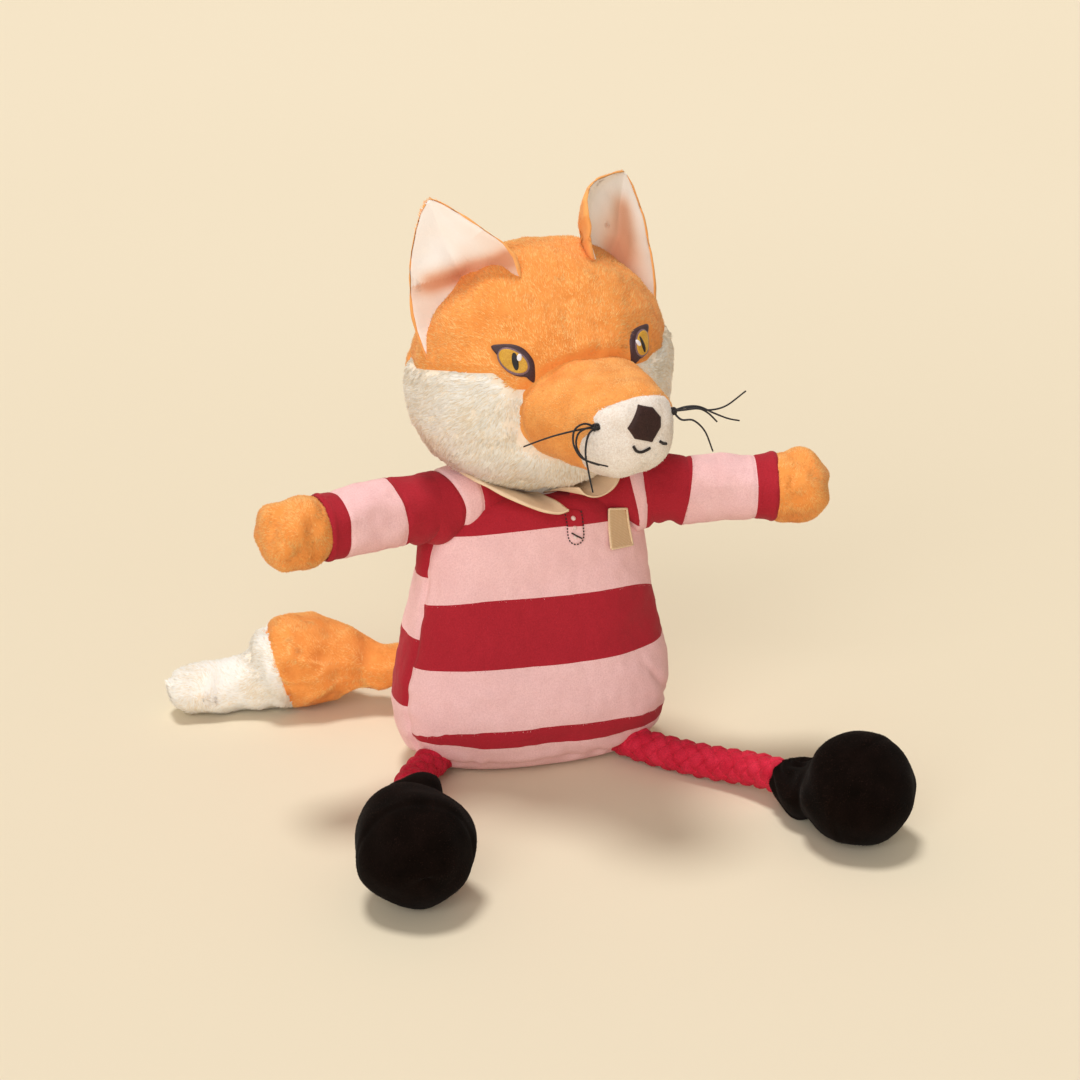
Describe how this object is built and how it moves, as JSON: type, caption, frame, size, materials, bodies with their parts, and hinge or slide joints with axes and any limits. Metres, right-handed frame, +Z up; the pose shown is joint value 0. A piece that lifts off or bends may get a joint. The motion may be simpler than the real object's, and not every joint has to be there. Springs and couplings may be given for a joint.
{
  "type": "plush fox",
  "caption": "Sitting plush fox with a striped shirt, turning head, folding ears, stuffed arms, plaited rope legs with ball feet, and a tail that swings beside the body.",
  "frame": {"origin": "centre of the seat, on the floor that the fox sits on", "axes": "+X to the fox's own left, -Y the way its chest faces, +Z up"},
  "size_m": [0.2655, 0.218, 0.2384],
  "materials": {
    "shirt_pink": "short velvet pile with maroon stripes",
    "shirt_maroon": "short velvet pile with pink stripes",
    "orange_plush": "short plush pile",
    "cream_plush": "long combed pile",
    "white_plush": "short plush pile",
    "ear_lining": "velour",
    "black_velour": "velour",
    "rope": "plaited cord",
    "stuffing": "loose fibre",
    "collar": "smooth knit",
    "dark_thread": "thread",
    "eye_thread": "satin stitch",
    "iris_thread": "satin stitch",
    "white_thread": "satin stitch",
    "placket": "short velvet pile, dark stitching",
    "buttons": "satin",
    "badge": "woven patch",
    "squeaker": "matt"
  },
  "bodies": {
    "torso": {"shirt_front": "shirt_pink", "shirt_back": "shirt_maroon", "shirt_base": "shirt_pink", "torso_stuffing": "stuffing", "squeaker_bulb": "squeaker", "squeaker_reed": "squeaker", "placket": "placket", "placket_button_1": "buttons", "placket_button_2": "buttons", "placket_button_3": "buttons", "chest_badge": "badge", "collar_right": "collar", "collar_left": "collar"},
    "neck": {"neck_stuffing": "stuffing"},
    "head": {"crown_panel": "orange_plush", "head_back_panel": "orange_plush", "head_stuffing": "stuffing", "cheek_right": "cream_plush", "cheek_left": "cream_plush", "muzzle_panel": "orange_plush", "muzzle_tip": "white_plush", "muzzle_stuffing": "stuffing", "nose": "dark_thread", "mouth_stitches": "eye_thread", "right_eye_outline": "eye_thread", "right_eye_iris": "iris_thread", "right_eye_pupil": "dark_thread", "right_eye_highlight": "white_thread", "left_eye_outline": "eye_thread", "left_eye_iris": "iris_thread", "left_eye_pupil": "dark_thread", "left_eye_highlight": "white_thread", "right_whiskers": "dark_thread", "left_whiskers": "dark_thread"},
    "right_ear": {"right_ear_lining": "ear_lining", "right_ear_back": "orange_plush"},
    "right_shoulder": {"right_sleeve_root": "shirt_pink"},
    "right_arm": {"right_sleeve": "shirt_pink", "right_paw": "orange_plush", "right_arm_stuffing": "stuffing"},
    "right_hip": {"right_rope_root": "rope"},
    "right_leg": {"right_rope": "rope"},
    "right_foot": {"right_foot_side": "black_velour", "right_foot_disc": "black_velour", "right_foot_stuffing": "stuffing"},
    "left_ear": {"left_ear_lining": "ear_lining", "left_ear_back": "orange_plush"},
    "left_shoulder": {"left_sleeve_root": "shirt_pink"},
    "left_arm": {"left_sleeve": "shirt_pink", "left_paw": "orange_plush", "left_arm_stuffing": "stuffing"},
    "left_hip": {"left_rope_root": "rope"},
    "left_leg": {"left_rope": "rope"},
    "left_foot": {"left_foot_side": "black_velour", "left_foot_disc": "black_velour", "left_foot_stuffing": "stuffing"},
    "tail_base": {"tail_root": "orange_plush"},
    "tail": {"tail_panel": "orange_plush", "tail_tip": "cream_plush", "tail_stuffing": "stuffing"}
  },
  "joints": [
    {"name": "neck_turn", "type": "hinge", "parent": "torso", "child": "neck", "pos_m": [0, 0, 0.123], "axis": [0, 0, 1], "range_deg": [-40, 40], "stiffness_Nm_per_rad": 0.05},
    {"name": "head_nod", "type": "hinge", "parent": "neck", "child": "head", "pos_m": [0, 0, 0.123], "axis": [1, 0, 0], "range_deg": [-12, 8], "stiffness_Nm_per_rad": 0.6},
    {"name": "right_ear_fold", "type": "hinge", "parent": "head", "child": "right_ear", "pos_m": [-0.03029, -0.0197, 0.19619], "axis": [0.7651, -0.1946, 0.6138], "range_deg": [0, 40], "stiffness_Nm_per_rad": 0.02},
    {"name": "right_shoulder_swing", "type": "hinge", "parent": "torso", "child": "right_shoulder", "pos_m": [-0.04466, -0.00816, 0.11496], "axis": [0, 0, -1], "range_deg": [-30, 30], "stiffness_Nm_per_rad": 0.1},
    {"name": "right_arm_lift", "type": "hinge", "parent": "right_shoulder", "child": "right_arm", "pos_m": [-0.04466, -0.00816, 0.11496], "axis": [-0.309, 0.9511, 0], "range_deg": [-30, 35], "stiffness_Nm_per_rad": 0.15},
    {"name": "right_hip_swing", "type": "hinge", "parent": "torso", "child": "right_hip", "pos_m": [-0.03712, -0.02584, 0.01], "axis": [0, 0, 1], "range_deg": [-12, 30]},
    {"name": "right_leg_lift", "type": "hinge", "parent": "right_hip", "child": "right_leg", "pos_m": [-0.03712, -0.02584, 0.01], "axis": [-0.8418, 0.5398, 0], "range_deg": [0, 22]},
    {"name": "right_foot_flop", "type": "hinge", "parent": "right_leg", "child": "right_foot", "pos_m": [-0.0648, -0.069, 0.013], "axis": [-0.9912, 0.1322, 0], "range_deg": [0, 30]},
    {"name": "left_ear_fold", "type": "hinge", "parent": "head", "child": "left_ear", "pos_m": [0.03734, -0.00532, 0.19981], "axis": [0.6788, 0.5015, -0.5365], "range_deg": [0, 40], "stiffness_Nm_per_rad": 0.02},
    {"name": "left_shoulder_swing", "type": "hinge", "parent": "torso", "child": "left_shoulder", "pos_m": [0.04466, -0.00816, 0.11496], "axis": [0, 0, 1], "range_deg": [-30, 30], "stiffness_Nm_per_rad": 0.1},
    {"name": "left_arm_lift", "type": "hinge", "parent": "left_shoulder", "child": "left_arm", "pos_m": [0.04466, -0.00816, 0.11496], "axis": [-0.2079, -0.9781, 0], "range_deg": [-30, 35], "stiffness_Nm_per_rad": 0.15},
    {"name": "left_hip_swing", "type": "hinge", "parent": "torso", "child": "left_hip", "pos_m": [0.03712, -0.02584, 0.01], "axis": [0, 0, -1], "range_deg": [-12, 30]},
    {"name": "left_leg_lift", "type": "hinge", "parent": "left_hip", "child": "left_leg", "pos_m": [0.03712, -0.02584, 0.01], "axis": [-0.7056, -0.7086, 0], "range_deg": [0, 22]},
    {"name": "left_foot_flop", "type": "hinge", "parent": "left_leg", "child": "left_foot", "pos_m": [0.0845, -0.073, 0.013], "axis": [-0.901, -0.4338, 0], "range_deg": [0, 30]},
    {"name": "tail_swing", "type": "hinge", "parent": "torso", "child": "tail_base", "pos_m": [-0.0029, 0.04218, 0.019], "axis": [0, 0, -1], "range_deg": [0, 90], "stiffness_Nm_per_rad": 0.01},
    {"name": "tail_lift", "type": "hinge", "parent": "tail_base", "child": "tail", "pos_m": [-0.0029, 0.04218, 0.019], "axis": [0.1961, 0.9806, 0], "range_deg": [0, 35], "stiffness_Nm_per_rad": 0.02}
  ]
}
